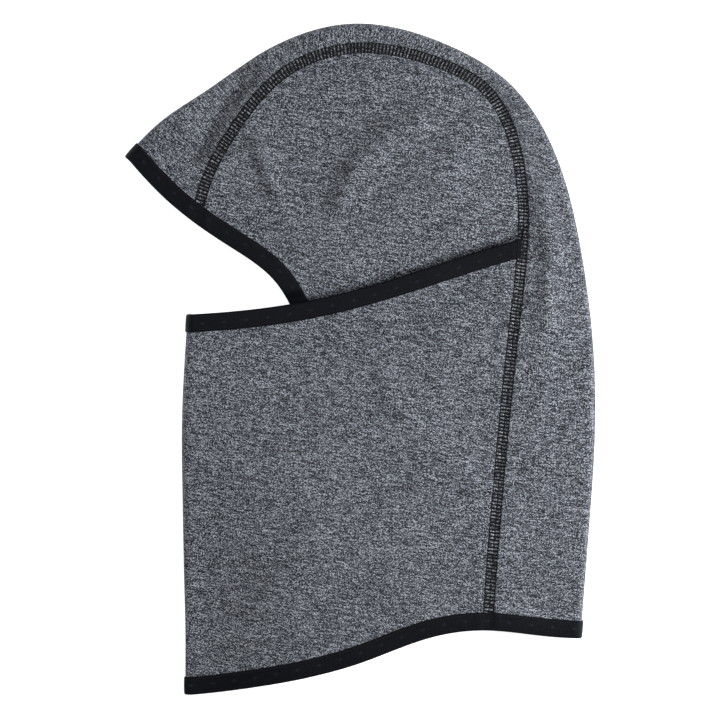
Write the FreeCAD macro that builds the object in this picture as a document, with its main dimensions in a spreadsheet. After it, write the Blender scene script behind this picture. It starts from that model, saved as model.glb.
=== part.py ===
"""Hinged balaclava of stretch jersey, folded flat and lying on its right side.

The garment is folded along its middle: +X points to the back of the head, +Y to the crown and +Z away from
the surface it lies on. The wearer's left side is the upper one. The origin is on that surface, under the
middle of the outline. All sizes are in millimetres.

The cloth and its bindings are the space between nested envelopes. An envelope is a flat block, rounded
along the folded edges, and each one lies inside the garment's outer surface by its own depth. Regions are
tall prisms over the plan view, and they cut a layer to the outline of its piece.
"""

import FreeCAD, Part
import os

OUTPUT_FOLDER = "parts"

DIMENSIONS = {
    "total_thickness": 16.0,  # both sides of the garment and the air between them
    "fabric_thickness": 1.0,
    "tape_thickness": 0.7,  # one layer of the fold-over elastic
    "layer_clearance": 0.3,  # between the mask's rim and the cheek flap under it
    "fold_radius": 7.0,
    "front_fold": 105.0,  # from the origin to the fold at the front of the mask
    "binding_width": 10.8,  # the elastic, folded over an edge
    "step_gap": 1.6,  # from the rim to the step where the side panel goes under the mask
    "step_width": 1.0,
    "seam_width": 7.0,  # three-needle coverstitch
    "rail_spacing": 2.9,  # from one needle thread to the next
    "thread_width": 0.6,
    "needle_height": 0.25,
    "cover_height": 0.25,
    "looper_height": 0.3,
    "stitch_depth": 0.3,  # the stitches that hold a binding sink into it
    "stitch_inset": 1.4,  # from the binding's inner edge
    "rim_end_gap": 6.0,  # from the arch seam to the free end of the rim
    "label_width": 22.0,
    "label_length": 34.0,
    "label_thickness": 0.6,
    "label_start": 78.0,  # the care label starts at the left arch seam
    "label_bottom": 146.0,  # from the origin down to its lower edge
}

# Plan view curves. The first and last points of each lie past the edges that it crosses.
CROWN_FOLD = [  # forehead, crown and nape
    (-148, 112), (-116, 145), (-92, 161), (-68, 178), (-4, 201), (51, 189), (91, 164), (115, 128),
    (132, 68), (141, -25), (136, -115), (128, -230),
]  # fmt: skip
ARCH_SEAM = [  # from the face edge over the crown and down to the hem
    (-98, 70), (-94, 97), (-74, 138), (-41, 173), (-2, 185), (42, 178), (77, 158), (94, 118), (97, 85),
    (92, 24), (83, -65), (77, -140), (75, -175),
]  # fmt: skip
FACE_EDGE = [  # from the forehead to the cheek, then under the mask and back to the arch seam
    (-146, 129), (-115, 95), (-80, 69), (-50, 46), (-33, 13), (-2, -37), (45, -72), (100, -90),
]  # fmt: skip
MASK_TOP = [(-125, 26), (-80, 28.5), (-24, 36.5), (35, 53), (97, 72), (115, 76)]  # front to back
HEM_EDGE = [  # front to back
    (-125, -201), (-103, -200), (-56, -193.5), (0, -180), (45, -164), (75, -160.5), (110, -164),
    (150, -166),
]  # fmt: skip
OPEN_FACE_POINTS = 4  # this many points of the face edge lie above the mask
BEYOND = 230  # a distance that clears the garment on every side
OVER = 2  # how far a region reaches above and below the garment
SAME = 1e-6  # coordinates closer together than this are equal

# Depths below the garment's outer surface, as the dimensions that add up to them. A minus sign takes away.
SURFACE = []
TAPE = ["tape_thickness"]
FABRIC = [*TAPE, "fabric_thickness"]
BINDING = [*FABRIC, "tape_thickness"]
FLAP = [*BINDING, "layer_clearance"]  # the same three layers follow again on the flap under the mask
FLAP_TAPE = [*FLAP, "tape_thickness"]
FLAP_FABRIC = [*FLAP_TAPE, "fabric_thickness"]
FLAP_BINDING = [*FLAP_FABRIC, "tape_thickness"]
COVER_THREAD = [*TAPE, "-cover_height"]
NEEDLE_THREADS = [*COVER_THREAD, "-needle_height"]
LOOPER_THREAD = [*FABRIC, "looper_height"]

document = FreeCAD.newDocument("balaclava")
sheet = document.addObject("Spreadsheet::Sheet", "Dimensions")
for row, (alias, value) in enumerate(DIMENSIONS.items(), start=1):
    sheet.set(f"A{row}", alias)
    sheet.set(f"B{row}", str(value))
    sheet.setAlias(f"B{row}", alias)
document.recompute()


def size(alias):
    """A driving dimension as the sheet holds it."""
    return float(sheet.get(alias))


def total(aliases):
    """The sum of those dimensions."""
    return sum(-size(alias[1:]) if alias.startswith("-") else size(alias) for alias in aliases)


def cells(aliases):
    """The same sum, as an expression."""
    signed = [("-", alias[1:]) if alias.startswith("-") else ("+", alias) for alias in aliases]
    return "(0" + "".join(f" {sign} Dimensions.{alias}" for sign, alias in signed) + ")"


# ---- curves ----


def vectors(points):
    return [FreeCAD.Vector(x, y, 0) for x, y in points]


def smooth(points):
    """One smooth curve through the points."""
    curve = Part.BSplineCurve()
    curve.interpolate(vectors(points))
    return curve


def beside(points, distance):
    """The points moved sideways: to the left of the curve's direction if the distance is positive."""
    curve = smooth(points)
    moved = []
    for point in vectors(points):
        tangent = curve.tangent(curve.parameter(point))[0].normalize()
        moved.append((point.x - tangent.y * distance, point.y + tangent.x * distance))
    return moved


def straight(points):
    """Straight edges from point to point."""
    chain = vectors(points)
    return [Part.LineSegment(start, end) for start, end in zip(chain, chain[1:])]


def closed_outline(points, corners):
    """A smooth curve through the points, closed by straight edges through the corners."""
    return [smooth(points), *straight([points[-1], *corners, points[0]])]


def strip_outline(points, left, right):
    """A strip along a curve, between two distances to the left of it."""
    near, far = beside(points, left), beside(points, right)
    return [smooth(near), smooth(far), *straight([near[-1], far[-1]]), *straight([far[0], near[0]])]


# ---- features ----


def add_pad(body, edges, height, length):
    """A pad of the outline, from height upwards by length. Both are expressions."""
    sketch = body.newObject("Sketcher::SketchObject", body.Name + "_sketch")
    plane = next(feature for feature in body.Origin.OriginFeatures if feature.Role == "XY_Plane")
    sketch.AttachmentSupport = [(plane, "")]
    sketch.MapMode = "FlatFace"
    sketch.addGeometry(edges, False)
    sketch.setExpression("AttachmentOffset.Base.z", height)
    pad = body.newObject("PartDesign::Pad", body.Name + "_pad")
    pad.Profile = sketch
    pad.setExpression("Length", length)
    document.recompute()
    return pad


def slab(name, side, *layers):
    """A body of flat layers on one side. Each layer has an outline, an outer depth and an inner depth."""
    body = document.addObject("PartDesign::Body", name)
    for edges, outer, inner in layers:
        below = cells(outer) if side == "right" else f"{cells(['total_thickness'])} - {cells(inner)}"
        add_pad(body, edges, below, f"{cells(inner)} - {cells(outer)}")
    return body


def region(name, edges):
    """A prism that reaches past both sides of the garment."""
    body = document.addObject("PartDesign::Body", name)
    add_pad(body, edges, f"-{OVER}", f"{cells(['total_thickness'])} + 2 * {OVER}")
    return body


def envelope(name, depth):
    """The flat block with rounded folds, that far inside the garment's outer surface."""
    inset = total(depth)
    front = inset - size("front_fold")
    fold = beside(CROWN_FOLD, -inset)
    corners = [(front, fold[-1][1]), (front, MASK_TOP[0][1] + size("binding_width"))]
    body = document.addObject("PartDesign::Body", name)
    length = f"{cells(['total_thickness'])} - 2 * {cells(depth)}"
    block = add_pad(body, closed_outline(fold, corners), cells(depth), length)
    folded = []
    for number, edge in enumerate(block.Shape.Edges, start=1):
        flat = edge.BoundBox.ZLength < SAME
        at_front = max(abs(vertex.X - front) for vertex in edge.Vertexes) < SAME
        if flat and (at_front or edge.Curve.TypeId == "Part::GeomBSplineCurve"):
            folded.append(f"Edge{number}")
    fillet = body.newObject("PartDesign::Fillet", name + "_folds")
    fillet.Base = (block, folded)
    fillet.setExpression("Radius", f"{cells(['fold_radius'])} - {cells(depth)}")
    body.Tip = fillet
    document.recompute()
    return body


def cut(name, base, *tools):
    """What is left of the base outside every tool."""
    result = base
    for number, tool in enumerate(tools, start=1):
        step = document.addObject("Part::Cut", name if number == len(tools) else f"{name}_cut_{number}")
        step.Base, step.Tool = result, tool
        result = step
    return result


def common(name, *shapes):
    """What all the shapes share."""
    result = document.addObject("Part::MultiCommon", name)
    result.Shapes = shapes
    return result


def fuse(name, *shapes):
    """The shapes as one. Those that don't touch stay separate solids."""
    result = document.addObject("Part::MultiFuse", name)
    result.Shapes = shapes
    return result


# ---- regions of the plan view ----

ABOVE = [(BEYOND, BEYOND), (-BEYOND, BEYOND)]
BELOW = [(BEYOND, -BEYOND), (-BEYOND, -BEYOND)]
BEHIND_FACE = [(BEYOND, -BEYOND), *ABOVE]
BEFORE_FACE = [(-BEYOND, 0)]
FRONT_OF_SEAM = [(ARCH_SEAM[-1][0], -BEYOND), (-BEYOND, -BEYOND), (-BEYOND, ARCH_SEAM[0][1])]


def inside_seam(name, inset):
    """Everything that the arch seam encloses, from that far inside it."""
    return region(name, closed_outline(beside(ARCH_SEAM, -inset), FRONT_OF_SEAM))


def behind_face(name, inset):
    return region(name, closed_outline(beside(FACE_EDGE, inset), BEHIND_FACE))


def before_face(name, inset):
    """The open face above the mask, and that much of the cloth round it."""
    return region(name, closed_outline(beside(FACE_EDGE[:OPEN_FACE_POINTS], inset), BEFORE_FACE))


def above_hem(name, inset):
    return region(name, closed_outline(beside(HEM_EDGE, inset), ABOVE))


def below_mask_top(name, inset):
    return region(name, closed_outline(beside(MASK_TOP, -inset), BELOW))


def above_rim(distance):
    """The outline of everything that far above the mask's upper edge."""
    return closed_outline(beside(MASK_TOP, distance), ABOVE)


def below_rim(distance):
    return closed_outline(beside(MASK_TOP, distance), BELOW)


def band(name, edge_region, start, end):
    """A band along one edge of a piece, between two distances from the edge."""
    return cut(name, edge_region(name + "_start", start), edge_region(name + "_end", end))


tape = size("tape_thickness")
binding_width = size("binding_width")
stitch_line = binding_width - size("stitch_inset")
stitch_end = stitch_line + size("thread_width")
step_start = size("step_gap")
step_end = step_start + size("step_width")

enclosed = inside_seam("enclosed", 0)
in_front_of_hinge = inside_seam("in_front_of_hinge", size("rim_end_gap"))
hood_cloth = behind_face("hood_cloth", tape)
open_face = before_face("open_face", tape)
face_and_binding = before_face("face_and_binding", binding_width)
mask_cloth = below_mask_top("mask_cloth", tape)
neck_cloth = above_hem("neck_cloth", tape)
neck_inside = above_hem("neck_inside", binding_width)
above_step = region("above_step", above_rim(step_start - tape))
clear_above_step = region("clear_above_step", above_rim(step_end + tape))
face_band = band("face_band", behind_face, 0, binding_width)
hem_band = band("hem_band", above_hem, 0, binding_width)
rim_band = band("rim_band", below_mask_top, 0, binding_width)

# ---- layers ----

outer_surface = envelope("outer_surface", SURFACE)
fabric_layer = cut("fabric_layer", envelope("fabric_start", TAPE), envelope("fabric_end", FABRIC))
binding_inside = envelope("binding_inside", BINDING)
binding_layer = cut("binding_layer", outer_surface, binding_inside)
stitch_layer = fuse(
    "stitch_layer",
    cut("outer_stitches", outer_surface, envelope("outer_stitches_end", ["stitch_depth"])),
    cut("inner_stitches", envelope("inner_stitches_start", [*BINDING, "-stitch_depth"]), binding_inside),
)

# ---- pieces ----

SIDES = ("left", "right")


def crown_gusset():
    """One strip from the forehead over the crown and down to the nape, folded along its middle."""
    strip = cut("gusset_strip", fabric_layer, enclosed, open_face)
    return common("crown_gusset", strip, neck_cloth)


def side_panel(side):
    """From the crown down over the cheek. It steps inwards above the rim and goes on under the mask."""
    stepped_cloth = slab(
        f"{side}_stepped_cloth",
        side,
        (above_rim(step_start), TAPE, FABRIC),
        (strip_outline(MASK_TOP, step_end, step_start), TAPE, FLAP_FABRIC),
        (below_rim(step_end), FLAP_TAPE, FLAP_FABRIC),
    )
    allowance_strip = strip_outline(ARCH_SEAM, 0, -size("step_width"))
    allowance = slab(f"{side}_allowance", side, (allowance_strip, LOOPER_THREAD, FLAP_TAPE))
    flap_allowance = cut(f"{side}_flap_allowance", allowance, above_step)
    cloth = fuse(f"{side}_cloth", stepped_cloth, flap_allowance)
    return common(f"{side}_side_panel", cloth, enclosed, hood_cloth)


def mask_panel():
    """Nose to neck in one piece, folded at the front. Both of its ends are sewn into the arch seams."""
    return common("mask_panel", fabric_layer, enclosed, mask_cloth, neck_cloth)


def face_binding(cloth, stitches):
    """The elastic round the face. Its two ends run under the mask with the cheek flaps."""
    parts = [common("face_binding_upper", binding_layer, face_band, above_step)]
    for side in SIDES:
        stepped_tape = slab(
            f"{side}_stepped_tape",
            side,
            (strip_outline(MASK_TOP, step_end + tape, step_start - tape), SURFACE, FLAP_BINDING),
            (below_rim(step_end + tape), FLAP, FLAP_BINDING),
        )
        parts.append(common(f"{side}_tape_under_mask", stepped_tape, face_band, enclosed))
    return cut("face_binding", fuse("face_binding_folded", *parts), *cloth, stitches)


def face_binding_stitches(panels):
    line = band("face_stitch_line", behind_face, stitch_line, stitch_end)
    runs = [common("face_stitches_upper", stitch_layer, line, clear_above_step)]
    for side in SIDES:
        lower_runs = slab(
            f"{side}_stitches",
            side,
            (below_rim(step_start - tape), FLAP, [*FLAP, "stitch_depth"]),
            (below_rim(step_start - tape), [*FLAP_BINDING, "-stitch_depth"], FLAP_BINDING),
        )
        runs.append(common(f"{side}_stitches_under_mask", lower_runs, line, enclosed))
    return cut("face_binding_stitches", fuse("face_stitches_joined", *runs), *panels)


def hem_binding_stitches():
    line = band("hem_stitch_line", above_hem, stitch_line, stitch_end)
    return common("hem_binding_stitches", stitch_layer, line)


def hem_binding(cloth, stitches):
    """The elastic round the neck, closed in a ring."""
    return cut("hem_binding", common("hem_binding_folded", binding_layer, hem_band), *cloth, stitches)


def mask_rim_stitches():
    line = band("rim_stitch_line", below_mask_top, stitch_line, stitch_end)
    return common("mask_rim_stitches", stitch_layer, line, in_front_of_hinge)


def mask_rim(cloth, stitches):
    """The elastic over the nose. It turns about the points where the arch seams catch its ends."""
    folded = common("mask_rim_folded", binding_layer, rim_band, in_front_of_hinge)
    return cut("mask_rim", folded, *cloth, stitches)


def seam_run(name, side, offset, width, outer, inner):
    """One strip of thread beside an arch seam, from the face binding to the hem binding."""
    outline = strip_outline(ARCH_SEAM, offset + width / 2, offset - width / 2)
    strip = slab(name + "_strip", side, (outline, outer, inner))
    return common(name, cut(name + "_below_face", strip, face_and_binding), neck_inside)


def seam_needle_threads(side):
    """The three lengthwise threads, which lie on the cover thread."""
    spacing, width = size("rail_spacing"), size("thread_width")
    rails = [
        seam_run(f"{side}_rail_{number}", side, offset, width, NEEDLE_THREADS, COVER_THREAD)
        for number, offset in enumerate((spacing, 0, -spacing), start=1)
    ]
    return fuse(f"{side}_seam_needle_threads", *rails)


def seam_cover_thread(side):
    """The thread that crosses the seam on the outside, as a thin band."""
    return seam_run(f"{side}_seam_cover_thread", side, 0, size("seam_width"), COVER_THREAD, TAPE)


def seam_looper_thread(side, panel):
    """The thread that crosses the seam on the inside, as a thin band."""
    run = seam_run(f"{side}_looper_run", side, 0, size("seam_width"), FABRIC, LOOPER_THREAD)
    return cut(f"{side}_seam_looper_thread", run, panel)


def care_label():
    """A blank woven label, held at one end by the left arch seam on the inside."""
    left, right = size("label_start"), size("label_start") + size("label_length")
    bottom, top = -size("label_bottom"), size("label_width") - size("label_bottom")
    edges = straight([(left, bottom), (right, bottom), (right, top), (left, top), (left, bottom)])
    return slab("care_label", "left", (edges, LOOPER_THREAD, [*LOOPER_THREAD, "label_thickness"]))


gusset = crown_gusset()
mask = mask_panel()
panels = [side_panel(side) for side in SIDES]
face_stitches = face_binding_stitches(panels)
hem_stitches = hem_binding_stitches()
rim_stitches = mask_rim_stitches()
pieces = [
    gusset,
    mask,
    *panels,
    face_stitches,
    hem_stitches,
    rim_stitches,
    face_binding([gusset, *panels], face_stitches),
    hem_binding([gusset, mask], hem_stitches),
    mask_rim([mask], rim_stitches),
    *[seam_needle_threads(side) for side in SIDES],
    *[seam_cover_thread(side) for side in SIDES],
    *[seam_looper_thread(side, panel) for side, panel in zip(SIDES, panels)],
    care_label(),
]
document.recompute()

for piece in pieces:
    piece.Label = piece.Name
    piece.Placement = FreeCAD.Placement()
document.recompute()

failed = [item.Name for item in document.Objects if "Invalid" in item.State or "Error" in item.State]
if failed:
    raise RuntimeError(f"failed features: {failed}")
for piece in pieces:
    if piece.Shape.isNull() or not piece.Shape.isValid():
        raise RuntimeError(f"{piece.Label} has no valid shape")

os.makedirs(OUTPUT_FOLDER, exist_ok=True)
for piece in pieces:
    piece.Shape.exportStep(os.path.join(OUTPUT_FOLDER, piece.Label + ".step"))
    box = piece.Shape.optimalBoundingBox(False)
    print(
        f"{piece.Label}: {len(piece.Shape.Solids)} solids, {piece.Shape.Volume:.0f} mm3,"
        f" x {box.XMin:.1f}..{box.XMax:.1f}, y {box.YMin:.1f}..{box.YMax:.1f},"
        f" z {box.ZMin:.1f}..{box.ZMax:.1f}"
    )
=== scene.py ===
"""Looks of the hinged balaclava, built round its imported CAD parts.

Metres, in the part's own frame: the garment lies folded flat on its right side, +X points to the back of the
head, +Y to the crown and +Z up. Its left side is the upper one.
"""

import math

import bpy
import numpy as np
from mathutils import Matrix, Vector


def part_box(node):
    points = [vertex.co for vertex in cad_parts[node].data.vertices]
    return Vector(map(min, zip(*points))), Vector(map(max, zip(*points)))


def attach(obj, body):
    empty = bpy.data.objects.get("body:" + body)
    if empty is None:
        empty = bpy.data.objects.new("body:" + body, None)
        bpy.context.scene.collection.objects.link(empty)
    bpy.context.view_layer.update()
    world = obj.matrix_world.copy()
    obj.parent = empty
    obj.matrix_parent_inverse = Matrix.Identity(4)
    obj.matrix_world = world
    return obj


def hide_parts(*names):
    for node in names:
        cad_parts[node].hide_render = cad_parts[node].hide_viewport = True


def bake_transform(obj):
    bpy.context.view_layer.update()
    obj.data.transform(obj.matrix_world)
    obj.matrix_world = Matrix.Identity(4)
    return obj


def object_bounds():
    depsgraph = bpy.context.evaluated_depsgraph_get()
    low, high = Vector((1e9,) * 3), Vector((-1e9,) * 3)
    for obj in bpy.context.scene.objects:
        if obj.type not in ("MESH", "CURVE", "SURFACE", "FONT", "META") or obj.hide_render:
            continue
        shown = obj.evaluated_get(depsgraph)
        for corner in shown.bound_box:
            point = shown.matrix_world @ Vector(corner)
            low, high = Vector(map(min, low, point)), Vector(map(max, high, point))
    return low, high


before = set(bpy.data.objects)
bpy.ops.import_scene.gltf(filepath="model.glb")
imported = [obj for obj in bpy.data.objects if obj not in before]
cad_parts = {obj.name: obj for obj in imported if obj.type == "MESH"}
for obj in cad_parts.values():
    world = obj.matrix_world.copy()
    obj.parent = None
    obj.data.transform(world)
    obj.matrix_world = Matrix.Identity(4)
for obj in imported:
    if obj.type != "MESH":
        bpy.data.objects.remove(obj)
cad_low, cad_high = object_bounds()

MM = 0.001
TINY = 1e-12  # keeps the length of a vector off zero
SIDES = ("left", "right")

# ---- sizes ----

FABRIC = 1.0 * MM  # thickness of the jersey
TAPE = 0.7 * MM  # thickness of the elastic
TOP = cad_high.z - TAPE  # the outer cloth surface of the CAD model's upper side
BOTTOM = cad_low.z + TAPE  # and of its lower side
LEVEL = cad_high.z / 2  # the middle of the garment's thickness
BINDING_WIDTH = 10.8 * MM
RIM_END = 0.5 * MM  # the rim's elastic ends this far inside the arch seam

FOLD_RADIUS = 4.0 * MM  # how far a fold reaches out in plan
SETTLED = 0.5 * MM  # the upper side lies this far below TOP
CROWN_SAG = (1.2 * MM, 45 * MM)  # it sags this much towards the crown's fold, over this width
FRONT_SAG = (10.4 * MM, 68 * MM)  # and this much towards the front fold, at the mask's foot
FOOT = (-30 * MM, -170 * MM)  # the sag at the front grows between these places in y
RIPPLE = 0.22 * MM
FLAP_DEPTH = 5.0 * MM  # the cheek flap lies this much deeper than the mask over it
FLAP_AT_SEAM = 1.1 * MM  # and this much where both are sewn into the arch seam
FLAP_EASE = 12 * MM  # the width beside the seam where the one goes over into the other
STEP = (1.5 * MM, 8.5 * MM)  # the side panel dips under the mask between these distances above the rim

STITCH_PITCH = 2.1 * MM
STITCH_INSET = 1.4 * MM  # from a binding's inner edge to its stitches
BINDING_THREAD = 0.22 * MM  # radius of the thread in the bindings
TWIST_RADIUS = 0.3 * MM  # radius that the twist of a thread is drawn for
SEAM_TUCK = 0.8 * MM  # the seam's threads run this far under the bindings
RAIL_GAP = 2.9 * MM  # from one needle thread to the next
OVERHANG = 0.45 * MM  # how far the crossing threads reach past the outer rails

GRID = 2.0 * MM  # spacing of a cloth mesh
TAPE_GRID = 1.6 * MM
GUSSET_SPAN, MASK_SPAN, PANEL_SPAN = 58 * MM, 198 * MM, 120 * MM  # these widths set how many columns each has
CORNER_GAP = 1.0 * MM  # a side panel's rows start and end this far from its corners
FOLD_STEPS = 11  # points round a fold
TUBE_SIDES = 6  # points round a thread
PART = 2000  # how many points are measured against a curve at a time
CROSSING_REACH = 60 * MM  # two curves' crossing is looked for this close to the point that names it

GRAIN = math.radians(-10)  # the panels' courses slope down towards the back
LOZENGE_PITCH = 13 * MM
LOZENGE_MIDDLE = 5.6 * MM
MARL = 0.0425  # how far apart the marl's colours are, on the scale of its mixed noises
MARL_COLOURS = [
    (-3.5, (12, 14, 20)), (-2.3, (28, 30, 36)), (-1.65, (40, 42, 48)), (-0.67, (58, 61, 67)),
    (0.0, (73, 76, 83)), (0.67, (87, 90, 98)), (1.65, (113, 117, 125)), (2.3, (132, 136, 144)),
    (3.5, (164, 168, 176)),
]  # fmt: skip

CAMERA_HEIGHT = 1.8  # above LEVEL
FIELD = 428.5 * MM  # what the camera sees across at LEVEL
LIGHTS = [("key", 15.4, (0.83, 0.0, 0.54)), ("fill", 3.4, (-0.8, 0.35, 0.5))]  # name, watts and place
SOFTBOX = 0.42  # width of each light
DAYLIGHT = 0.33  # strength of the white surroundings
FLOOR_REACH = 12  # from the origin to the floor's edges
FLOOR_GLOW = 0.75

# Plan view curves in millimetres, as in the CAD part. Their ends lie past the edges that each one crosses.
CROWN_FOLD_POINTS = [
    (-148, 112), (-116, 145), (-92, 161), (-68, 178), (-4, 201), (51, 189), (91, 164), (115, 128),
    (132, 68), (141, -25), (136, -115), (128, -230),
]  # fmt: skip
ARCH_SEAM_POINTS = [
    (-98, 70), (-94, 97), (-74, 138), (-41, 173), (-2, 185), (42, 178), (77, 158), (94, 118), (97, 85),
    (92, 24), (83, -65), (77, -140), (75, -175),
]  # fmt: skip
FACE_EDGE_POINTS = [
    (-146, 129), (-115, 95), (-80, 69), (-50, 46), (-33, 13), (-2, -37), (45, -72), (100, -90),
]  # fmt: skip
MASK_TOP_POINTS = [(-125, 26), (-80, 28.5), (-24, 36.5), (35, 53), (97, 72), (115, 76)]
HEM_EDGE_POINTS = [
    (-125, -201), (-103, -200), (-56, -193.5), (0, -180), (45, -164), (75, -160.5), (110, -164),
    (150, -166),
]  # fmt: skip

# How far the mask's front fold stands out between its two bindings, and at which places in y. Millimetres.
FRONT_BULGE = [
    (0.0, -215), (0.0, -190), (0.0, -160), (0.6, -134), (1.5, -80), (1.7, -36), (0.6, -8), (-1.1, 20),
    (-1.7, 32),
]  # fmt: skip


def smooth_step(t):
    """From 0 to 1, level at both ends."""
    t = np.clip(t, 0, 1)
    return t * t * (3 - 2 * t)


def unit(v):
    return v / np.maximum(np.linalg.norm(v, axis=-1, keepdims=True), TINY)


class Curve:
    """A smooth plan view curve: a natural cubic spline through its points."""

    def __init__(self, points, samples=1600):
        p = np.array(points, float) * MM
        chord = np.concatenate([[0], np.cumsum(np.linalg.norm(np.diff(p, axis=0), axis=1))])
        h, count = np.diff(chord), len(p)
        matrix, right = np.eye(count), np.zeros((count, 2))
        for i in range(1, count - 1):
            matrix[i, i - 1 : i + 2] = h[i - 1], 2 * (h[i - 1] + h[i]), h[i]
            right[i] = 6 * ((p[i + 1] - p[i]) / h[i] - (p[i] - p[i - 1]) / h[i - 1])
        bend = np.linalg.solve(matrix, right)
        t = np.linspace(0, chord[-1], samples)
        k = np.clip(np.searchsorted(chord, t, side="right") - 1, 0, count - 2)
        a, b = ((chord[k + 1] - t) / h[k])[:, None], ((t - chord[k]) / h[k])[:, None]
        curved = ((a**3 - a) * bend[k] + (b**3 - b) * bend[k + 1]) * (h[k] ** 2 / 6)[:, None]
        self.set_line(a * p[k] + b * p[k + 1] + curved)

    def set_line(self, line):
        self.line = line
        self.along = np.concatenate([[0], np.cumsum(np.linalg.norm(np.diff(line, axis=0), axis=1))])
        self.turn = unit(np.gradient(line, self.along, axis=0))
        return self

    def at(self, s):
        return np.stack([np.interp(s, self.along, self.line[:, k]) for k in (0, 1)], axis=-1)

    def left(self, s):
        """The unit vector to the left of the curve's direction."""
        x, y = (np.interp(s, self.along, self.turn[:, k]) for k in (0, 1))
        return unit(np.stack([-y, x], axis=-1))

    def nearest(self, p):
        """The nearest place on the curve to each point, and its signed distance to the left of the curve."""
        flat = np.asarray(p, float).reshape(-1, 2)
        parts = np.array_split(flat, max(1, len(flat) // PART))
        index = np.concatenate([
            np.argmin(((part[:, None] - self.line[None]) ** 2).sum(-1), axis=1) for part in parts
        ])  # fmt: skip
        gap = flat - self.line[index]
        side = self.turn[index, 0] * gap[:, 1] - self.turn[index, 1] * gap[:, 0]
        signed = np.copysign(np.linalg.norm(gap, axis=1), side)
        shape = np.shape(p)[:-1]
        return self.along[index].reshape(shape), signed.reshape(shape)

    def crossing(self, other, near):
        """Where the two curves cross, near that point: the place on this curve and on the other."""
        close = (np.linalg.norm(curve.line - near, axis=1) < CROSSING_REACH for curve in (self, other))
        mine, theirs = (np.where(points)[0] for points in close)
        gaps = np.linalg.norm(self.line[mine][:, None] - other.line[theirs][None], axis=2)
        i, j = np.unravel_index(np.argmin(gaps), gaps.shape)
        i, j = mine[i], theirs[j]
        ways = np.stack([self.turn[i], -other.turn[j]], axis=1)
        here, there = np.linalg.solve(ways, other.line[j] - self.line[i])
        return self.along[i] + here, other.along[j] + there

    def beside(self, distance):
        """The same curve, moved to its left by that distance."""
        moved = Curve.__new__(Curve)
        return moved.set_line(self.line + np.stack([-self.turn[:, 1], self.turn[:, 0]], axis=1) * distance)


def steps(length, spacing):
    """How many points divide a length at about that spacing."""
    return max(2, round(length / spacing) + 1)


crown_fold = Curve(CROWN_FOLD_POINTS).beside(-TAPE)
arch_seam = Curve(ARCH_SEAM_POINTS)
face_edge = Curve(FACE_EDGE_POINTS)
mask_top = Curve(MASK_TOP_POINTS)
hem_edge = Curve(HEM_EDGE_POINTS)
front_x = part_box("mask_panel")[0].x
front_fold = Curve([(front_x / MM - bulge, y) for bulge, y in FRONT_BULGE], samples=600)
crown_axis = crown_fold.beside(-FOLD_RADIUS)
front_axis = front_fold.beside(-FOLD_RADIUS)

# Points that tell one crossing of two curves from another.
FOREHEAD, TEMPLE, HINGE, FLAP_END = (-0.135, 0.12), (-0.097, 0.082), (0.096, 0.07), (0.082, -0.084)
NOSE, CHIN, NECK, NAPE = (front_x, 0.027), (front_x, -0.2), (0.076, -0.161), (0.13, -0.165)

# ---- how the cloth lies ----

# The upper side's soft folds: line, half width and height, in millimetres. A valley's height is negative.
SOFT_FOLDS = [
    ([(-66, 173), (-84, 147), (-97, 122)], 6, -5.4),
    ([(-61, 127), (-50, 99)], 5, 4.4),
    ([(34, 139), (14, 132), (-3, 114), (-10, 94)], 8, 5.2),
    ([(48, 116), (16, 88)], 18, 1.6),
    ([(64, 134), (48, 108), (24, 90)], 8, 1.8),
    ([(84, 146), (74, 150), (60, 152)], 6, -2.2),
    ([(108, 100), (113, 60), (111, 26)], 7, 2.8),
    ([(113, 70), (109, 10), (103, -44)], 8, 1.5),
    ([(18, 20), (50, 25), (84, 38)], 9, 2.2),
    ([(10, -4), (28, -38), (74, -76)], 8, 2.2),
    ([(106, -147), (134, -149)], 5, -2.2),
    ([(112, -124), (128, -120)], 9, 1.6),
]


def soft_folds(p):
    """The height that the soft folds add."""
    height = np.zeros(np.shape(p)[:-1])
    for line, width, rise in SOFT_FOLDS:
        corners = np.array(line) * MM
        away = np.full(np.shape(p)[:-1], np.inf)
        for a, b in zip(corners, corners[1:]):
            t = np.clip(((p - a) @ (b - a)) / ((b - a) @ (b - a)), 0, 1)
            away = np.minimum(away, np.linalg.norm(p - a - t[..., None] * (b - a), axis=-1))
        height += rise * MM * np.exp(-((away / (width * MM)) ** 2))
    return height


def ripple(p):
    """Slow unevenness of cloth that was smoothed down by hand."""
    x, y = p[..., 0] / MM, p[..., 1] / MM
    waves = np.sin(x / 13.0 + 1.7 * np.sin(y / 31.0)) * np.sin(y / 17.0 + 0.8 * np.sin(x / 23.0))
    return RIPPLE * (waves + 0.6 * np.sin(x / 29.0 - y / 37.0 + 1.0))


def seam_pucker(p):
    """The stitches pull the cloth down, and it swells a little beside them."""
    away = np.abs(arch_seam.nearest(p)[1]) / MM
    swell = 0.35 * np.exp(-(((away - 5.5) / 2.0) ** 2))
    pull = 0.2 * np.exp(-((away / 3.2) ** 4))
    return MM * (swell - pull)


def upper(p):
    """Height of the upper side's outer cloth surface."""
    at_foot = smooth_step((FOOT[0] - p[..., 1]) / (FOOT[0] - FOOT[1]))
    height = TOP - SETTLED
    for fold, (depth, width), share in (crown_fold, CROWN_SAG, 1), (front_fold, FRONT_SAG, at_foot):
        from_fold = np.abs(fold.nearest(p)[1]) - FOLD_RADIUS
        height = height - share * depth * (1 - smooth_step(from_fold / width))
    return height + soft_folds(p) + ripple(p) + seam_pucker(p)


def lower(p):
    """Height of the lower side's outer cloth surface, which lies on the floor."""
    return np.full(np.shape(p)[:-1], BOTTOM)


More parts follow.
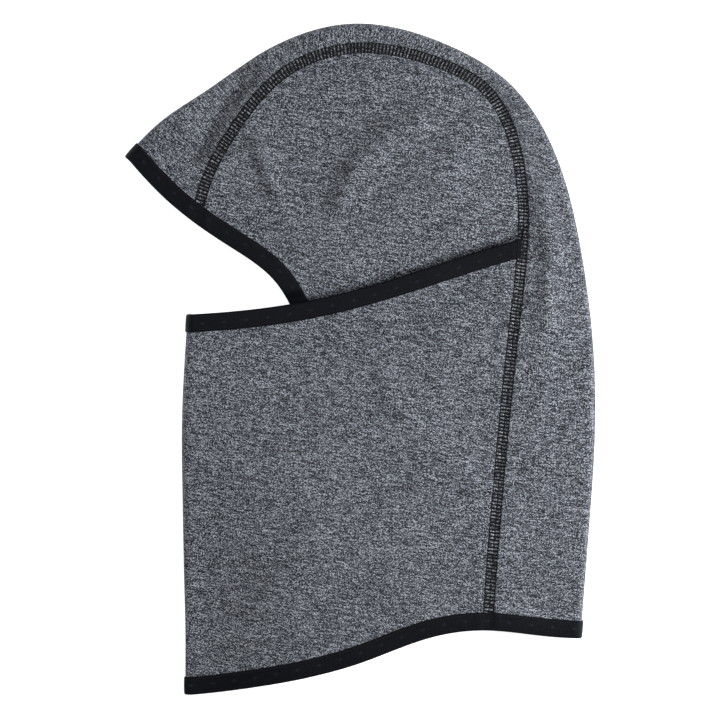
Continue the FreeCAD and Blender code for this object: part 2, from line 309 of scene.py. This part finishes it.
def flap_depth(p):
    """How much deeper the side panel lies than the mask and the gusset."""
    above_rim = mask_top.nearest(p)[1]
    from_seam = np.abs(arch_seam.nearest(p)[1])
    full = FLAP_AT_SEAM + (FLAP_DEPTH - FLAP_AT_SEAM) * smooth_step(from_seam / FLAP_EASE)
    return full * smooth_step((STEP[1] - above_rim) / (STEP[1] - STEP[0]))


def over_rim(p):
    """How far the seam's threads rise to pass over the end of the rim's elastic."""
    below_edge = -mask_top.nearest(p)[1]
    inside = RIM_END - arch_seam.nearest(p)[1]
    along = smooth_step(below_edge / MM + 0.5) * smooth_step((BINDING_WIDTH - below_edge) / MM + 0.5)
    return TAPE * along * smooth_step(inside / MM + 0.5)


def lay(side, p, out=0.0):
    """Plan points lifted to one side's outer cloth surface, and out from it by that much."""
    z = upper(p) + out if side == "left" else lower(p) - out
    return np.concatenate([p, z[..., None]], axis=-1)


def bend(points, fold, places, out):
    """Rows of points round a fold, from the left side to the right. The plan points lie on its axis."""
    turns = np.linspace(math.pi / 2, -math.pi / 2, FOLD_STEPS + 2)[1:-1]
    plan = points + fold.left(places)[:, None] * ((FOLD_RADIUS + out) * np.cos(turns))[..., None]
    left, right = lay("left", points, out)[..., 2], lay("right", points, out)[..., 2]
    height = (left + right) / 2 + (left - right) / 2 * np.sin(turns)
    return np.concatenate([plan, height[..., None]], axis=2)


def folded(plan, fold, places, out=0.0):
    """Rows of points that run along the left side, round a fold and back along the right side.

    plan has the left side's rows, which end over the fold's axis at those places. out is how far outside the
    outer cloth surface each point lies.
    """
    out = np.broadcast_to(out, plan.shape[:2])
    arc = bend(plan[:, -1:], fold, places, out[:, -1:])
    return np.concatenate([lay("left", plan, out), arc, lay("right", plan[:, ::-1], out[:, ::-1])], axis=1)


# ---- meshes ----


def new_object(name, vertices, faces, material, uv, period=None):
    """A mesh object. uv has a pair for each vertex, in metres of cloth.

    A closed band has a period, the length at which its u starts again.
    """
    mesh = bpy.data.meshes.new(name)
    mesh.from_pydata(np.asarray(vertices, float).tolist(), [], [face.tolist() for face in faces])
    mesh.materials.append(material)
    loops = np.zeros(len(mesh.loops), int)
    mesh.loops.foreach_get("vertex_index", loops)
    pairs = np.asarray(uv, np.float32).reshape(-1, 2)[loops]
    if period:
        u = pairs.reshape(-1, 4, 2)[..., 0]
        u += period * (u.max(axis=1, keepdims=True) - u > period / 2)
    mesh.uv_layers.new(name="cloth").data.foreach_set("uv", pairs.ravel())
    mesh.polygons.foreach_set("use_smooth", [True] * len(mesh.polygons))
    mesh.update()
    piece = bpy.data.objects.new(name, mesh)
    bpy.context.scene.collection.objects.link(piece)
    return piece


def quads(rows, columns, ring_rows=False, ring_columns=False):
    """The faces of a grid of points, whose last row or column may join its first."""
    r = np.arange(rows if ring_rows else rows - 1)[:, None]
    c = np.arange(columns if ring_columns else columns - 1)[None]
    r2, c2 = (r + 1) % rows * columns, (c + 1) % columns
    return np.stack([r * columns + c, r * columns + c2, r2 + c2, r2 + c], axis=-1).reshape(-1, 4)


def sheet_mesh(name, grid, uv, material, thickness=FABRIC, facing_up=True):
    """A closed sheet with that grid as its outer surface. The first part of each row faces up or down."""
    rows, columns, count = *grid.shape[:2], grid[..., 0].size
    outward = unit(np.cross(np.gradient(grid, axis=1), np.gradient(grid, axis=0)))
    in_first_part = rows // 2, columns // 6, 2
    inside_out = (outward[in_first_part] > 0) != facing_up
    outward = -outward if inside_out else outward
    top = quads(rows, columns)
    edge = np.concatenate([
        np.arange(columns),
        np.arange(2, rows) * columns - 1,
        np.arange(rows * columns - 1, (rows - 1) * columns - 1, -1),
        np.arange(rows - 2, 0, -1) * columns,
    ])  # fmt: skip
    after = np.roll(edge, -1)
    sides = np.stack([after, edge, edge + count, after + count], axis=1)
    faces = np.concatenate([top, top[:, ::-1] + count, sides])
    faces = faces[:, ::-1] if inside_out else faces
    vertices = np.concatenate([grid.reshape(-1, 3), (grid - outward * thickness).reshape(-1, 3)])
    return new_object(name, vertices, faces, material, np.concatenate([uv.reshape(-1, 2)] * 2))


def tubes(name, lines, radius, material, flat=1.0):
    """Threads along lines that have the same number of points. flat is a thread's height over its width."""
    around = np.linspace(0, 2 * math.pi, TUBE_SIDES, endpoint=False)[:, None]
    way = unit(np.gradient(lines, axis=1))
    across = unit(np.cross(way, [0, 0, 1]))
    rise = np.cross(across, way)
    ring = across[:, :, None] * np.cos(around) + rise[:, :, None] * np.sin(around) * flat
    points = lines[:, :, None] + radius * ring
    count, length = lines.shape[:2]
    starts = (np.arange(count) * length * TUBE_SIDES)[:, None]
    walls = quads(length, TUBE_SIDES, ring_columns=True)[:, ::-1]
    cap = np.arange(TUBE_SIDES)
    faces = [
        *(walls[None] + starts[:, None]).reshape(-1, 4),
        *(cap[None] + starts),
        *(cap[None, ::-1] + starts + (length - 1) * TUBE_SIDES),
    ]
    travel = np.cumsum(np.linalg.norm(np.diff(lines, axis=1, prepend=lines[:, :1]), axis=2), axis=1)
    uv = np.stack(np.broadcast_arrays(travel[..., None], around[:, 0] * radius), axis=-1)
    return new_object(name, points.reshape(-1, 3), faces, material, uv)


def band_mesh(name, grid, material, closed=False):
    """A band with a closed profile. The grid has a row for each point of it and a column for each station."""
    rows, columns = grid.shape[:2]
    faces = list(quads(rows, columns, ring_rows=True, ring_columns=closed))
    if not closed:
        first = np.arange(rows) * columns
        faces += [first, first[::-1] + columns - 1]
    middle = grid[: rows // 2].mean(axis=0)
    travel = np.cumsum(np.linalg.norm(np.diff(middle, axis=0, prepend=middle[:1]), axis=1))
    widths = np.linalg.norm(np.diff(grid, axis=0, prepend=grid[:1]), axis=2).mean(axis=1)
    uv = np.stack(np.broadcast_arrays(travel[None], np.cumsum(widths)[:, None]), axis=-1)
    whole = travel[-1] + np.linalg.norm(middle[-1] - middle[0])
    return new_object(name, grid.reshape(-1, 3), faces, material, uv, whole if closed else None)


def fill(first, last, start, end):
    """A grid of plan points inside four lines: its first and last rows, and where its rows start and end."""
    u = np.linspace(0, 1, len(first))[None, :, None]
    v = np.linspace(0, 1, len(start))[:, None, None]
    corners = (first[0] * (1 - u) + first[-1] * u) * (1 - v) + (last[0] * (1 - u) + last[-1] * u) * v
    return start[:, None] * (1 - u) + end[:, None] * u + first[None] * (1 - v) + last[None] * v - corners


def turned(u, v):
    """Cloth coordinates along and across the slightly sloping grain."""
    c, s = math.cos(GRAIN), math.sin(GRAIN)
    return np.stack([u * c + v * s, v * c - u * s], axis=-1)


def travel_across(grid):
    """How far each point of a folded sheet is from its middle, along its row."""
    across = np.cumsum(np.linalg.norm(np.diff(grid, axis=1, prepend=grid[:, :1]), axis=2), axis=1)
    return across - across[:, grid.shape[1] // 2][:, None]


# ---- materials ----


def linear(red, green, blue):
    """A screen colour from 0 to 255, as a shader colour."""
    return (*(((c / 255 + 0.055) / 1.055) ** 2.4 for c in (red, green, blue)), 1)


class Shader:
    """A material's nodes, built in the order that they are called."""

    def __init__(self, name, **surface):
        self.material = bpy.data.materials.new(name)
        self.material.use_nodes = True
        self.tree = self.material.node_tree
        self.surface = self.tree.nodes["Principled BSDF"]
        self.connect(self.surface, surface)

    def connect(self, node, inputs):
        for name, value in inputs.items():
            numbered = name[0] == "i" and name[1:].isdigit()
            socket = node.inputs[int(name[1:]) if numbered else name.replace("_", " ")]
            if isinstance(value, bpy.types.NodeSocket):
                self.tree.links.new(value, socket)
            else:
                socket.default_value = value

    def node(self, kind, settings=None, output=0, **inputs):
        """One output of a new node. An input is called by its name, or by i and its number."""
        made = self.tree.nodes.new("ShaderNode" + kind)
        for key, value in (settings or {}).items():
            setattr(made, key, value)
        self.connect(made, inputs)
        return made.outputs[output]

    def math(self, operation, *values):
        return self.node("Math", {"operation": operation}, **{f"i{n}": v for n, v in enumerate(values)})

    def cloth_point(self, u_size, v_size, shift=0.0):
        """The place on the cloth, in cells of that size."""
        point = self.node("UVMap", {"uv_map": "cloth"})
        scaled = {"i0": point, "i1": (1 / u_size, 1 / v_size, 0), "i2": (0, 0, shift)}
        return self.node("VectorMath", {"operation": "MULTIPLY_ADD"}, **scaled)

    def noise(self, u_size, v_size, shift=0.0, detail=1.0):
        return self.node("TexNoise", Vector=self.cloth_point(u_size, v_size, shift), Scale=1.0, Detail=detail)

    def place(self, axis, u_size, v_size):
        """How many cells of that size a point is along u, axis 0, or v, axis 1."""
        return self.node("SeparateXYZ", output=axis, Vector=self.cloth_point(u_size, v_size))

    def waves(self, axis, size):
        """Parallel ribs across u, axis 0, or v, axis 1, from -1 to 1."""
        return self.math("SINE", self.math("MULTIPLY", self.place(axis, size, size), 2 * math.pi))

    def ramp(self, value, stops):
        """Colours by value."""
        made = self.tree.nodes.new("ShaderNodeValToRGB")
        self.connect(made, {"Fac": value})
        elements = made.color_ramp.elements
        for number, (place, colour) in enumerate(stops):
            element = elements[number] if number < 2 else elements.new(place)
            element.position, element.color = place, colour
        return made.outputs[0]

    def finish(self, colour, height, distance):
        """Joins the colour and a bump to the surface. The bump's height is in units of the distance."""
        bump = self.node("Bump", Strength=1.0, Distance=distance, Height=height)
        self.connect(self.surface, {"Base_Color": colour, "Normal": bump})
        return self.material


def heather_jersey():
    """Marled knit: short streaks of light and dark yarn along the courses."""
    made = Shader(
        "heather_jersey_knit", Roughness=0.9, Specular_IOR_Level=0.2, Sheen_Weight=0.05, Sheen_Roughness=0.5
    )
    flecks = made.noise(1.6 * MM, 0.95 * MM, detail=0.0)
    fibres = made.noise(0.66 * MM, 0.56 * MM, 4.2, detail=0.0)
    streaks = made.noise(5.0 * MM, 0.9 * MM, 8.6, detail=0.0)
    patches = made.noise(4.5 * MM, 3.5 * MM, 16.9, detail=0.0)
    clouds = made.noise(38 * MM, 30 * MM, 12.3)
    cell, row = (made.place(axis, 0.75 * MM, 0.62 * MM) for axis in (0, 1))
    wale = made.math("ABSOLUTE", made.math("SINE", made.math("MULTIPLY", cell, math.pi)))
    course = made.math("SINE", made.math("MULTIPLY_ADD", row, 2 * math.pi, made.math("MULTIPLY", wale, 2.2)))
    mix = made.math("MULTIPLY", flecks, 0.25)
    mix = made.math("MULTIPLY_ADD", fibres, 0.57, mix)
    mix = made.math("MULTIPLY_ADD", streaks, 0.18, mix)
    mix = made.math("MULTIPLY_ADD", patches, 0.06, made.math("SUBTRACT", mix, 0.03))
    mix = made.math("MULTIPLY_ADD", course, 0.008, mix)
    mix = made.math("MULTIPLY_ADD", clouds, 0.03, made.math("SUBTRACT", mix, 0.015))
    stops = [(0.5 + spread * MARL, linear(*colour)) for spread, colour in MARL_COLOURS]
    height = made.math("MULTIPLY_ADD", course, 0.4, made.math("MULTIPLY", wale, 0.6))
    height = made.math("MULTIPLY_ADD", mix, 2.5, height)
    return made.finish(made.ramp(mix, stops), height, 0.10 * MM)


def fold_over_elastic():
    """Ribbed knitted tape, with a row of faint lozenges along its middle."""
    made = Shader("fold_over_elastic_knit", Roughness=0.6, Specular_IOR_Level=0.08)
    picks = made.waves(0, 0.8 * MM)
    ribs = made.waves(1, 1.1 * MM)
    along, across = (made.place(axis, LOZENGE_PITCH, LOZENGE_PITCH) for axis in (0, 1))
    u = made.math("PINGPONG", along, 0.5)
    v = made.math("SUBTRACT", across, LOZENGE_MIDDLE / LOZENGE_PITCH)
    spread = made.math("MULTIPLY_ADD", made.math("ABSOLUTE", v), 1.7, u)
    lozenge = made.node("MapRange", Value=spread, From_Min=0.16, From_Max=0.12)
    fuzz = made.noise(1.2 * MM, 0.5 * MM, 3.1)
    tone = made.math("MULTIPLY_ADD", lozenge, 0.28, made.math("MULTIPLY", fuzz, 0.6))
    tone = made.math("MULTIPLY_ADD", picks, 0.05, tone)
    height = made.math("MULTIPLY_ADD", ribs, 0.6, picks)
    height = made.math("MULTIPLY_ADD", lozenge, 1.5, height)
    colours = [(0.1, linear(2, 4, 8)), (0.4, linear(8, 11, 18)), (0.9, linear(32, 36, 46))]
    return made.finish(made.ramp(tone, colours), height, 0.05 * MM)


def spun_thread(name, dark, light, roughness):
    """Two plies of polyester, twisted."""
    made = Shader(name, Roughness=roughness, Specular_IOR_Level=0.12)
    u, v = (made.place(axis, 0.9 * MM, 2 * math.pi * TWIST_RADIUS) for axis in (0, 1))
    twist = made.math("SINE", made.math("MULTIPLY", made.math("ADD", u, v), 2 * math.pi))
    fuzz = made.noise(0.5 * MM, 0.3 * MM, 6.4)
    tone = made.math("MULTIPLY_ADD", twist, 0.2, fuzz)
    return made.finish(made.ramp(tone, [(0.25, linear(*dark)), (0.8, linear(*light))]), twist, 0.06 * MM)


def label_satin():
    """A woven satin ribbon without print."""
    made = Shader("label_satin_weave", Roughness=0.38, Specular_IOR_Level=0.5, Sheen_Weight=0.1)
    warp = made.waves(0, 0.35 * MM)
    slub = made.noise(9 * MM, 0.4 * MM, 2.2)
    tone = made.math("MULTIPLY_ADD", warp, 0.1, slub)
    colours = [(0.3, linear(196, 194, 188)), (0.75, linear(232, 231, 227))]
    return made.finish(made.ramp(tone, colours), tone, 0.05 * MM)


def studio_floor():
    """Matt white paper sweep."""
    glow = {"Emission_Color": (1, 1, 1, 1), "Emission_Strength": FLOOR_GLOW}
    made = Shader("studio_paper", Roughness=0.95, Specular_IOR_Level=0.1, **glow)
    grain = made.noise(60 * MM, 60 * MM, detail=3.0)
    colours = [(0.2, linear(247, 247, 247)), (0.8, linear(251, 251, 251))]
    return made.finish(made.ramp(grain, colours), grain, 0.01 * MM)


jersey = heather_jersey()
elastic = fold_over_elastic()
seam_thread = spun_thread("seam_thread_ply", (6, 6, 8), (22, 23, 27), 0.6)
binding_thread = spun_thread("binding_thread_ply", (5, 5, 7), (20, 20, 24), 0.55)
satin = label_satin()

# ---- pieces ----


def dress(piece, node, moves=False):
    """The piece stands for a CAD node, which it hides. A piece that stays rides on the hood.

    A piece of the mask moves, so it is left unparented with its transform baked in: on the real balaclava it
    turns with the rim at the mask's corner, and less towards the still line, which runs from the hinge to the
    neck's front corner.
    """
    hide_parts(node)
    if moves:
        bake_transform(piece)
    else:
        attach(piece, "hood")
    return piece


face_cloth, hem_cloth, top_cloth = face_edge.beside(TAPE), hem_edge.beside(TAPE), mask_top.beside(-TAPE)
seam_start, face_start = arch_seam.crossing(face_cloth, TEMPLE)
seam_flap, face_flap = arch_seam.crossing(face_cloth, FLAP_END)
seam_end, hem_seam = arch_seam.crossing(hem_cloth, NECK)
crown_start, face_fold = crown_axis.crossing(face_cloth, FOREHEAD)
crown_end, hem_nape = crown_axis.crossing(hem_cloth, NAPE)
front_start, top_front = front_axis.crossing(top_cloth, NOSE)
front_end, hem_chin = front_axis.crossing(hem_cloth, CHIN)
seam_rim, top_seam = arch_seam.crossing(top_cloth, HINGE)

# The gusset's rows join these places on the arch seam and on the crown fold, in millimetres.
GUSSET_ROWS = [
    ((-74, 138), (-96, 158)), ((-41, 173), (-48, 185)), ((-2, 185), (-3, 200)), ((42, 178), (49, 188)),
    ((77, 158), (92, 160)), ((94, 118), (119, 110)), ((97, 85), (129, 76)), ((88, -20), (140, -24)),
]  # fmt: skip


def crown_gusset():
    """A strip from the forehead to the nape. Its rows run from one arch seam round the fold to the other."""
    rows = steps(crown_end - crown_start, GRID)
    at_seam, at_fold = (np.array(points) * MM for points in zip(*GUSSET_ROWS))
    seam_keys = [seam_start, *arch_seam.nearest(at_seam)[0], seam_end]
    fold_keys = [crown_start, *crown_axis.nearest(at_fold)[0], crown_end]
    share = np.linspace(0, 1, len(seam_keys))
    spread = np.interp(np.linspace(crown_start, crown_end, rows), fold_keys, share)
    seam_places, fold_places = np.interp(spread, share, seam_keys), np.interp(spread, share, fold_keys)
    columns = steps(GUSSET_SPAN, GRID)
    first = face_cloth.at(np.linspace(face_start, face_fold, columns))
    last = hem_cloth.at(np.linspace(hem_seam, hem_nape, columns))
    plan = fill(first, last, arch_seam.at(seam_places), crown_axis.at(fold_places))
    grid = folded(plan, crown_axis, fold_places)
    uv = np.stack(np.broadcast_arrays(travel_across(grid), fold_places[:, None]), axis=-1)
    piece = sheet_mesh("crown_gusset_jersey", grid, uv, jersey)
    dress(piece, "crown_gusset")


def mask_panel():
    """Nose to neck in one piece. Its rows run from one arch seam round the front fold to the other."""
    rows = steps(front_start - front_end, GRID)
    columns = steps(MASK_SPAN, GRID)
    seam_places = np.linspace(seam_rim, seam_end, rows)
    fold_places = np.linspace(front_start, front_end, rows)
    first = top_cloth.at(np.linspace(top_seam, top_front, columns))
    last = hem_cloth.at(np.linspace(hem_seam, hem_chin, columns))
    plan = fill(first, last, arch_seam.at(seam_places), front_axis.at(fold_places))
    grid = folded(plan, front_axis, fold_places)
    piece = sheet_mesh("mask_panel_jersey", grid, turned(-travel_across(grid), grid[..., 1]), jersey)
    dress(piece, "mask_panel", moves=True)


def side_panel(side):
    """A crescent from the arch seam to the face edge. Its lower part is the flap under the mask."""
    rows, columns = steps(seam_flap - seam_start, GRID), steps(PANEL_SPAN, GRID)
    start = arch_seam.at(np.linspace(seam_start + CORNER_GAP, seam_flap - CORNER_GAP, rows))
    end = face_cloth.at(np.linspace(face_start + CORNER_GAP, face_flap - CORNER_GAP, rows))
    plan = start[:, None] + (end - start)[:, None] * np.linspace(0, 1, columns)[None, :, None]
    grid = lay(side, plan, -flap_depth(plan))
    uv = turned(plan[..., 0], plan[..., 1])
    piece = sheet_mesh(f"{side}_side_panel_jersey", grid, uv, jersey, facing_up=side == "left")
    dress(piece, f"{side}_side_panel")


def elastic_profile():
    """The insets from an edge and the distances out from the cloth, round the section of a folded tape.

    The tape's edges are rounded over the width of a lip. Its inner faces are sunk a little into the cloth.
    """
    width, lip, sunk = BINDING_WIDTH, 0.3 * MM, 0.06 * MM
    radius = FABRIC / 2 + TAPE
    flat = np.linspace(width - lip, radius, 8)
    crowned = TAPE * (1 + 0.2 * np.sin(np.pi * (flat - radius) / (width - lip - radius)))
    outer = [(width, 0.0), (width - 0.1 * lip, 0.6 * TAPE), *zip(flat, crowned)]
    angles = np.linspace(0, np.pi, 9)[1:-1]
    nose = [(radius * (1 - math.sin(angle)), radius * math.cos(angle) - FABRIC / 2) for angle in angles]
    back = [(inset, -FABRIC - out) for inset, out in outer[::-1]]
    flat_inside = np.linspace(width - lip, radius, 4)
    inside = [(inset, sunk - FABRIC) for inset in flat_inside]
    inside += [(radius - (FABRIC / 2 - sunk), -FABRIC / 2)]
    inside += [(inset, -sunk) for inset in flat_inside[::-1]]
    return np.array([*outer, *nose, *back, *inside]).T


def lines_beside(edge, insets, start, end):
    """Plan lines beside an edge, one for each inset, and where each meets the start and end curves."""
    meetings = {}
    for inset in np.unique(insets):
        line = edge.beside(inset)
        first, start_place = line.crossing(*start)
        last, end_place = line.crossing(*end)
        meetings[inset] = line, first, last, start_place, end_place
    count = max(steps(abs(last - first), TAPE_GRID) for _, first, last, _, _ in meetings.values())
    chosen = [meetings[inset] for inset in insets]
    plan = np.stack([line.at(np.linspace(first, last, count)) for line, first, last, _, _ in chosen])
    return plan, np.array([row[3] for row in chosen]), np.array([row[4] for row in chosen])


def binding_path(which, insets):
    """A binding's lines on the left side, its fold, where they meet it, and for a ring where they start."""
    if which == "face":
        plan, _, places = lines_beside(face_edge, insets, (arch_seam, FLAP_END), (crown_axis, FOREHEAD))
        return plan, crown_axis, places, None
    if which == "hem":
        plan, starts, places = lines_beside(hem_edge, insets, (front_axis, CHIN), (crown_axis, NAPE))
        return plan, crown_axis, places, starts
    hinge_line = arch_seam.beside(-RIM_END)
    plan, _, places = lines_beside(mask_top, -insets, (hinge_line, HINGE), (front_axis, NOSE))
    return plan, front_axis, places, None


def binding_grid(which, insets, out):
    """Rows of points along a binding, one for each inset from its edge and distance out from the cloth."""
    plan, fold, places, starts = binding_path(which, insets)
    out = np.broadcast_to(out[:, None], plan.shape[:2])
    if which == "face":
        out = out - flap_depth(plan)
    grid = folded(plan, fold, places, out)
    if starts is not None:
        ring_end = bend(plan[:, :1], front_axis, starts, out[:, :1])
        grid = np.concatenate([grid, ring_end[:, ::-1]], axis=1)
    return grid


def binding_stitches(which, node):
    """A row of stitches on each side of the tape. The thread sinks into the tape from stitch to stitch."""
    inset = BINDING_WIDTH - STITCH_INSET
    surface, outward = np.array([TAPE, -FABRIC - TAPE]), np.array([1, -1])
    proud, sunk = (
        binding_grid(which, np.array([inset, inset]), surface + height * outward)
        for height in (0.05 * MM, -0.25 * MM)
    )
    travel = np.cumsum(np.linalg.norm(np.diff(proud[0], axis=0, prepend=proud[0][:1]), axis=1))
    even = np.arange(0, travel[-1], STITCH_PITCH / 6)
    proud, sunk = (
        np.stack([np.stack([np.interp(even, travel, row[:, k]) for k in range(3)], axis=-1) for row in rows])
        for rows in (proud, sunk)
    )
    dip = (1 - np.abs(np.sin(np.pi * even / STITCH_PITCH)) ** 0.5)[:, None]
    lines = proud + (sunk - proud) * dip
    lines[..., 2] = np.maximum(lines[..., 2], BINDING_THREAD + 0.02 * MM)
    stitches = tubes(f"{node}_stitching", lines, BINDING_THREAD, binding_thread)
    dress(stitches, f"{node}_stitches", moves=which == "rim")


def binding(which, node):
    """The elastic folded over an edge, and its stitches."""
    grid = binding_grid(which, *elastic_profile())
    piece = band_mesh(f"{node}_elastic", grid, elastic, closed=which == "hem")
    dress(piece, node, moves=which == "rim")
    binding_stitches(which, node)


def seam_threads(side, name, node, places, offsets, out, radius, flat=1.0):
    """Threads at those places along the arch seam and offsets across it, that far out from the cloth.

    All but the loops, which are inside, pass over the end of the rim's elastic.
    """
    plan = arch_seam.at(places) + arch_seam.left(places) * offsets[..., None]
    lines = lay(side, plan, out + (over_rim(plan) if name != "loops" else 0))
    lines[..., 2] = np.maximum(lines[..., 2], radius)
    dress(tubes(f"{side}_seam_{name}", lines, radius, seam_thread, flat), f"{side}_{node}")


def seam_rails(side, start, count):
    """The three lengthwise threads, humped at each stitch. The middle one lies lower."""
    along = np.arange(count * 6 + 1) * STITCH_PITCH / 6
    places = np.broadcast_to(start + along, (3, len(along)))
    rail = np.array([-1, 0, 1])[:, None]
    hump = np.abs(np.sin(np.pi * along / STITCH_PITCH)) ** 0.6
    lower = 0.34 * (rail == 0)
    out = (0.14 - lower + 0.2 * hump) * MM
    seam_threads(side, "rails", "seam_needle_threads", places, rail * RAIL_GAP, out, 0.24 * MM)


def seam_rungs(side, start, count):
    """Two threads across the seam at each stitch, slanted, uneven and arched from rail to rail."""
    across = np.linspace(-1, 1, 13)
    reach = across * (RAIL_GAP + OVERHANG)
    stitch = (np.arange(count) + 0.5)[:, None, None] * STITCH_PITCH
    pair = np.array([-0.27, 0.27])[None, :, None] * MM
    unevenness = np.sin(np.arange(count) * 12.9898)[:, None, None] * 0.12 * MM
    slant = across * 0.22 * MM
    places = (start + stitch + pair + unevenness + slant).reshape(-1, len(across))
    arch = 0.1 * MM * np.abs(np.sin(np.pi * reach / RAIL_GAP))
    tucked_ends = 0.25 * MM * (np.abs(across) ** 12)
    out = 0.13 * MM + arch - tucked_ends
    offsets = np.broadcast_to(reach, places.shape)
    seam_threads(side, "rungs", "seam_cover_thread", places, offsets, out, 0.26 * MM, flat=0.6)


def seam_loops(side, start, count):
    """Two zigzag threads on the inside, one on each side of the seam's middle."""
    along = np.arange(count * 8 + 1) * STITCH_PITCH / 8
    zigzag = np.arcsin(np.sin(np.pi * (along / STITCH_PITCH - 0.5))) / (np.pi / 2)
    middles = np.array([-0.5, 0.5])[:, None] * RAIL_GAP
    places = np.broadcast_to(start + along, (2, len(along)))
    offsets = middles + zigzag * RAIL_GAP / 2
    seam_threads(side, "loops", "seam_looper_thread", places, offsets, -FABRIC - 0.2 * MM, 0.25 * MM)


def coverstitch(side):
    """The seam's threads: rails along it, rungs across it outside, and loops across it inside."""
    under_binding = BINDING_WIDTH - SEAM_TUCK
    start = arch_seam.crossing(face_edge.beside(under_binding), TEMPLE)[0]
    end = arch_seam.crossing(hem_edge.beside(under_binding), NECK)[0]
    count = int((end - start) / STITCH_PITCH)
    for threads in (seam_rails, seam_rungs, seam_loops):
        threads(side, start, count)


def care_label():
    """A blank ribbon on the inside, sewn in at one end. It droops and curls towards the other."""
    low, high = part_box("care_label")
    across, along = steps(high.x - low.x, GRID / 2), steps(high.y - low.y, GRID / 2)
    x, y = np.meshgrid(np.linspace(low.x, high.x, across), np.linspace(low.y, high.y, along), indexing="ij")
    plan = np.stack([x, y], axis=-1)
    free = smooth_step((x - low.x) / (high.x - low.x))
    droop = (0.5 + 0.9 * free + 0.25 * np.sin(y / (3.5 * MM)) * free) * MM
    grid = lay("left", plan, -FABRIC - droop)
    piece = sheet_mesh("care_label_satin", grid, plan, satin, thickness=0.3 * MM)
    dress(piece, "care_label")


crown_gusset()
mask_panel()
for side in SIDES:
    side_panel(side)
    coverstitch(side)
binding("face", "face_binding")
binding("hem", "hem_binding")
binding("rim", "mask_rim")
care_label()

# ---- studio ----


def studio():
    scene = bpy.context.scene
    scene.view_settings.view_transform = "Standard"
    corners = np.array([(-1, -1), (1, -1), (1, 1), (-1, 1)]) * FLOOR_REACH
    mesh = bpy.data.meshes.new("floor")
    mesh.from_pydata([(x, y, 0) for x, y in corners.tolist()], [], [(0, 1, 2, 3)])
    mesh.uv_layers.new(name="cloth").data.foreach_set("uv", (corners + FLOOR_REACH).ravel().tolist())
    mesh.materials.append(studio_floor())
    floor = bpy.data.objects.new("floor", mesh)
    scene.collection.objects.link(floor)

    world = bpy.data.worlds.new("studio")
    world.use_nodes = True
    world.node_tree.nodes["Background"].inputs["Color"].default_value = (1, 1, 1, 1)
    world.node_tree.nodes["Background"].inputs["Strength"].default_value = DAYLIGHT
    scene.world = world

    for name, watts, place in LIGHTS:
        softbox = bpy.data.lights.new(name, "AREA")
        softbox.energy, softbox.size = watts, SOFTBOX
        lamp = bpy.data.objects.new(name, softbox)
        lamp.location = place
        lamp.rotation_euler = (-lamp.location).to_track_quat("-Z", "Y").to_euler()
        scene.collection.objects.link(lamp)

    lens = bpy.data.cameras.new("camera")
    lens.lens = lens.sensor_width * CAMERA_HEIGHT / FIELD
    lens.clip_end = 100
    camera = bpy.data.objects.new("camera", lens)
    camera.location = (0, 0, LEVEL + CAMERA_HEIGHT)
    scene.collection.objects.link(camera)
    scene.camera = camera


studio()
